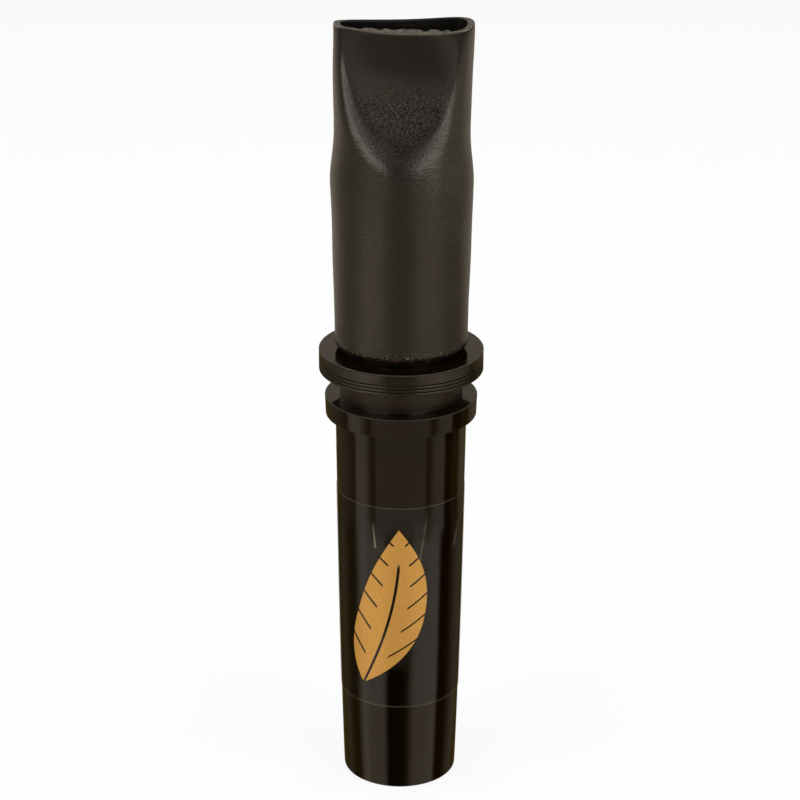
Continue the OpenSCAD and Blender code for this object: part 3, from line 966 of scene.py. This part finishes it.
# %% Creases in the film
CREASES = [
    (-4.9 * MM, 0.07, -4.4 * MM, 0.21, 0.8),
    (4.9 * MM, 0.0, 2.75 * MM, 0.38, 0.4),
    (12.7 * MM, 0.11, 10.8 * MM, 0.24, 0.6),
]
CREASE_HALF_W = 0.08 * MM
CREASE_WIDENS = 0.22 * MM
CREASE_SOFT = 0.14 * MM
CREASE_STARTS = (0, 0.15)
CREASE_ENDS = (1, 0.9)


def crease(round_it, down, start, start_down, end, end_down, strength):
    """A fine crease between two points, given as the distance round and the share of the way down."""
    share = (down - start_down) / (end_down - start_down)
    off = abs(round_it - share * (end - start) - start)
    line = (CREASE_HALF_W + share * CREASE_WIDENS - off).between(0, CREASE_SOFT)
    return line * share.between(*CREASE_STARTS) * share.between(*CREASE_ENDS) * strength


def all_creases(round_it, z):
    down = (FILM_HIGH.z - z) / (FILM_HIGH.z - FILM_LOW.z)
    first, second, third = [crease(round_it, down, *ends) for ends in CREASES]
    return first + second + third


print("the film has", len(CREASES), "creases")

# %% Clear film with a print
EDGE_OF_FILM = (0.985, 0.995)
EDGE_PALE = 0.35
FILM_CLEAR = 0.35
INK_SOLID = 1 - FILM_CLEAR
CREASE_SOLID = 0.25
INK_METAL = 0.35
INK_ROUGHNESS = 0.35
CREASE_RELIEF = 0.1


def printed_film():
    made = Finish("printed_film", IOR=1.5, Specular_IOR_Level=1.0)
    x, y, z = made.coordinates()
    round_it = made.from_front(x, y) * FILM_R
    ink = feather(made, round_it, z)
    creases = all_creases(round_it, z) * (1 - ink)
    edge = (abs(z - PRINT_Z) / (FILM_HIGH.z - PRINT_Z)).between(*EDGE_OF_FILM)
    haze = made.noise(120, 2.0)
    gold = made.mix(made.noise(2600, 3.0), linear(186, 130, 46), linear(212, 156, 66))
    # Paler along the creases: a painted highlight.
    clear = made.mix(edge * EDGE_PALE + creases, linear(12, 8, 4), linear(128, 114, 92))
    made.feed_shader(
        Base_Color=made.mix(ink, clear, gold),
        Metallic=ink * INK_METAL,
        Roughness=GLOSS + haze * HAZE + ink * INK_ROUGHNESS,
        Alpha=FILM_CLEAR + ink * INK_SOLID + creases * CREASE_SOLID,
        Normal=made.bump(haze + creases * CREASE_RELIEF, 0.25 * MM, 0.4))
    return made


wear("clear_label", printed_film())

# %% [markdown]
# ## Studio: the floor
#
# A pale floor and a white world make the background. On a dark gloss only reflections show, and a standing
# tube seen from above mirrors little but the floor round its foot. Boards could be stood there, but they
# would show in the picture and shade the call. So the floor itself shows bright and dark sectors, as fans
# round the call's axis, to glossy rays alone, and the camera and the plain light see a pale sheet.
#
# A point on the tube's side mirrors the floor at twice its own angle from the front. The fans are written
# against that doubled angle, in degrees, each with its level of light. It is seen from the tube's skin and
# not from its axis, so near the foot it is a little wider than the floor's own angle. From fan to fan the
# floor goes outwards, which on the tube is upwards. Each fan has the distance where it starts and the width
# over which it fades in. The nearest one, round the foot, is black in front, and its middle is a little
# lighter further out.

# %% What gloss sees in the floor
FANS = [
    (110 * MM, 8 * MM, [
        (-180, 0.1), (-150, 0.1), (-130, 0.16), (-112, 0.18), (-92, 0.14), (-84, 0.66), (-68, 0.72),
        (-54, 0.18), (-48, 0.18), (-44, 0.42), (44, 0.42), (48, 0.17), (53, 0.17), (64, 0.48),
        (82, 0.48), (88, 0.04), (101, 0.05), (110, 0.11), (120, 0.07), (131, 0.2), (145, 0.2),
        (154, 0.12), (180, 0.1)]),
    (192 * MM, 5 * MM, [
        (-180, 0.1), (-150, 0.1), (-128, 0.16), (-112, 0.25), (-96, 0.4), (-80, 0.78), (-50, 1.02),
        (-36, 0.72), (-20, 0.46), (0, 0.4), (20, 0.46), (36, 0.7), (54, 0.98), (70, 0.9), (92, 0.5),
        (104, 0.3), (116, 0.1), (134, 0.16), (150, 0.12), (180, 0.1)]),
    (220 * MM, 12 * MM, [
        (-180, 0.5), (-130, 0.5), (-104, 0.32), (-76, 0.36), (-60, 1.5), (-34, 1.5), (-20, 0.17),
        (15, 0.17), (28, 1.25), (54, 1.1), (72, 0.28), (104, 0.32), (130, 0.42), (180, 0.42)]),
    (295 * MM, 25 * MM, [
        (-180, 0.5), (-130, 0.5), (-104, 0.3), (-84, 0.3), (-62, 0.2), (62, 0.2), (84, 0.3), (104, 0.3),
        (130, 0.42), (180, 0.42)]),
    (400 * MM, 150 * MM, [
        (-180, 0.5), (-130, 0.5), (-104, 0.3), (-70, 0.42), (36, 0.42), (52, 0.9), (94, 0.9),
        (110, 0.4), (130, 0.42), (180, 0.42)]),
]
NEAR = [
    (-180, 0.1), (-150, 0.1), (-128, 0.18), (-108, 0.1), (-93, 0.11), (-80, 0.62), (-73, 0.85),
    (-62, 0.68), (-33, 0.68), (-22, 0), (4, 0), (14, 0.1), (29, 0.66), (72, 0.72), (82, 0.045),
    (100, 0.045), (121, 0.18), (142, 0.2), (152, 0.1), (180, 0.1)]
MIDDLE = 0.2
MIDDLE_LEFT = (0.42, 0.44)
MIDDLE_RIGHT = (0.56, 0.54)
BLACK_TO = 52 * MM
BLACK_FADE = 2 * MM
MIRROR_R = 10.8 * MM


def brown(level):
    """The warm light of a brightness that comes back from the floor, browner where it is darker."""
    return (level, max(0.93 * level - 0.03, 0), max(0.82 * level - 0.065, 0), 1)


def fan_of(made, turn, sectors):
    stops = [((degrees + 180) / 360, brown(level)) for degrees, level in sectors]
    return made.node("ValToRGB", {"stops": stops}, [turn])


def mirrored_studio(made):
    """What the floor shows to gloss: bright sectors at both sides, and dark ones in front and behind."""
    x, y, _ = made.coordinates()
    reach = made.from_axis(x, y)
    from_skin = reach * 2 / (reach * 2 - MIRROR_R)
    turn = made.from_front(x, y) * from_skin / (2 * math.pi) + 0.5
    in_front = turn.between(*MIDDLE_LEFT) * turn.between(*MIDDLE_RIGHT)
    beyond_black = reach.between(BLACK_TO, BLACK_TO + BLACK_FADE) * in_front
    shown = made.mix(beyond_black, fan_of(made, turn, NEAR), brown(MIDDLE))
    for start, fade, sectors in FANS:
        shown = made.mix(reach.between(start, start + fade), shown, fan_of(made, turn, sectors))
    return shown


print("the floor's fans start at, mm:", [round(fan[0] / MM) for fan in FANS])

# %% The floor
FLOOR_HALF = 2.5
FLOOR_ROUGHNESS = 0.9
FLOOR_GLOW = 0.85


def floor_finish():
    """A pale sheet with a glow for the camera, and the mirrored studio for gloss."""
    made = Finish("pale_floor", Base_Color=linear(200, 200, 199), Roughness=FLOOR_ROUGHNESS)
    light = made.node("Emission", None, {"Color": (1, 1, 1, 1), "Strength": 1.0})
    gloss = made.node("Emission", None, {"Color": mirrored_studio(made), "Strength": 1.0})
    is_camera = made.node("LightPath", output="Is Camera Ray")
    is_glossy = made.node("LightPath", output="Is Glossy Ray")
    surface = Wire(made, made.shader.outputs[0])
    lit = made.node("MixShader", None, [is_camera * FLOOR_GLOW, surface, light])
    made.show(made.node("MixShader", None, [is_glossy, lit, gloss]))
    return made


def make_floor():
    sheet = bmesh.new()
    bmesh.ops.create_grid(sheet, x_segments=1, y_segments=1, size=FLOOR_HALF)
    data = bpy.data.meshes.new("floor")
    sheet.to_mesh(data)
    sheet.free()
    data.materials.append(floor_finish().material)
    floor = bpy.data.objects.new("floor", data)
    bpy.context.scene.collection.objects.link(floor)
    print("the floor is", 2 * FLOOR_HALF, "m across")


make_floor()

# %% [markdown]
# ## Studio: the world and the lamps
#
# The world is white to the camera and a moderate grey to the plain light. Gloss sees it dark in front, and
# light behind on the left, which gives the flanges one pale end and one dark one. An even world would turn
# every gloss grey.
#
# Two large boxes stand high at both sides and light the call from above. From there they don't show in the
# sleeve's crest, so two low strips do that, at the height where the crest looks. The right one leans, because
# the crest is steeper there. Two small lamps behind draw the outline of the sleeve. One row of sizes for each
# lamp, in metres and degrees, is easier to compare and to change than lamps moved by hand.

# %% World
ALL_ROUND = 0.42
IN_FRONT = 0.07
BEHIND_LEFT = 0.66
BEHIND_RIGHT = 0.1
SIDES_TO = 0.5
BEHIND_FROM = 0.4
WARM = (1, 0.86, 0.7, 1)


def make_world():
    """A pale world, which gloss sees dark in front, and light behind and most of all behind to the left."""
    world = bpy.data.worlds.new("studio")
    bpy.context.scene.world = world
    world.use_nodes = True
    tree = world.node_tree

    def node(kind, **inputs):
        made = tree.nodes.new("ShaderNode" + kind)
        for socket, value in inputs.items():
            socket = made.inputs[socket.replace("_", " ")]
            if isinstance(value, bpy.types.NodeSocket):
                tree.links.new(value, socket)
            else:
                socket.default_value = value
        return made.outputs

    path = node("LightPath")
    way = node("SeparateXYZ", Vector=node("TexCoord")["Generated"])
    sides = {"From_Min": -SIDES_TO, "From_Max": SIDES_TO, "To_Min": BEHIND_LEFT, "To_Max": BEHIND_RIGHT}
    behind = node("MapRange", Value=way["X"], **sides)
    depth = {"From_Min": 0.0, "From_Max": BEHIND_FROM, "To_Min": IN_FRONT, "To_Max": behind["Result"]}
    gloss = node("MapRange", Value=way["Y"], **depth)
    lit = node("MapRange", Value=path["Is Glossy Ray"], To_Min=ALL_ROUND, To_Max=gloss["Result"])
    seen = node("MapRange", Value=path["Is Camera Ray"], To_Min=lit["Result"], To_Max=1.0)
    tint = node("MixRGB", Fac=path["Is Glossy Ray"], Color1=(1, 1, 1, 1), Color2=WARM)
    background = tree.nodes["Background"]
    tree.links.new(tint["Color"], background.inputs["Color"])
    tree.links.new(seen["Result"], background.inputs["Strength"])
    print("the world has", len(tree.nodes), "nodes")


make_world()

# %% Lamps
LAMPS = [
    {"name": "left_box", "turn": -62, "height": 0.82, "out": 0.45, "size": (0.6, 0.4), "power": 4.6},
    {"name": "right_box", "turn": 62, "height": 0.82, "out": 0.45, "size": (0.6, 0.4), "power": 4.6},
    {"name": "left_strip", "turn": -46, "height": 0.3, "out": 0.8, "size": (0.72, 0.22), "power": 1.5},
    {"name": "right_strip", "turn": 40, "height": 0.275, "out": 0.8, "size": (0.68, 0.23), "power": 1.55,
     "lean": -17},
    {"name": "left_rim", "turn": -148, "height": 0.6, "out": 0.6, "size": (0.35, 0.3), "power": 1.6},
    {"name": "right_rim", "turn": 148, "height": 0.6, "out": 0.6, "size": (0.35, 0.3), "power": 1.6},
]
AIM = Vector((0, 0, 0.07))


def soft_box(name, turn, height, out, size, power, lean=0):
    """A large lamp at a turn from the camera's side of the call, aimed at the call's middle."""
    data = bpy.data.lights.new(name, "AREA")
    data.shape = "RECTANGLE"
    data.size, data.size_y = size
    data.energy = power
    lamp = bpy.data.objects.new(name, data)
    angle = math.radians(turn)
    place = Vector((out * math.sin(angle), -out * math.cos(angle), height))
    facing = (AIM - place).to_track_quat("-Z", "Y").to_matrix().to_4x4()
    facing = facing @ Matrix.Rotation(math.radians(lean), 4, "Z")
    lamp.matrix_world = Matrix.Translation(place) @ facing
    bpy.context.scene.collection.objects.link(lamp)
    print(name, "shines with", power, "W")


for lamp_sizes in LAMPS:
    soft_box(**lamp_sizes)
bpy.context.scene.view_settings.view_transform = "Standard"
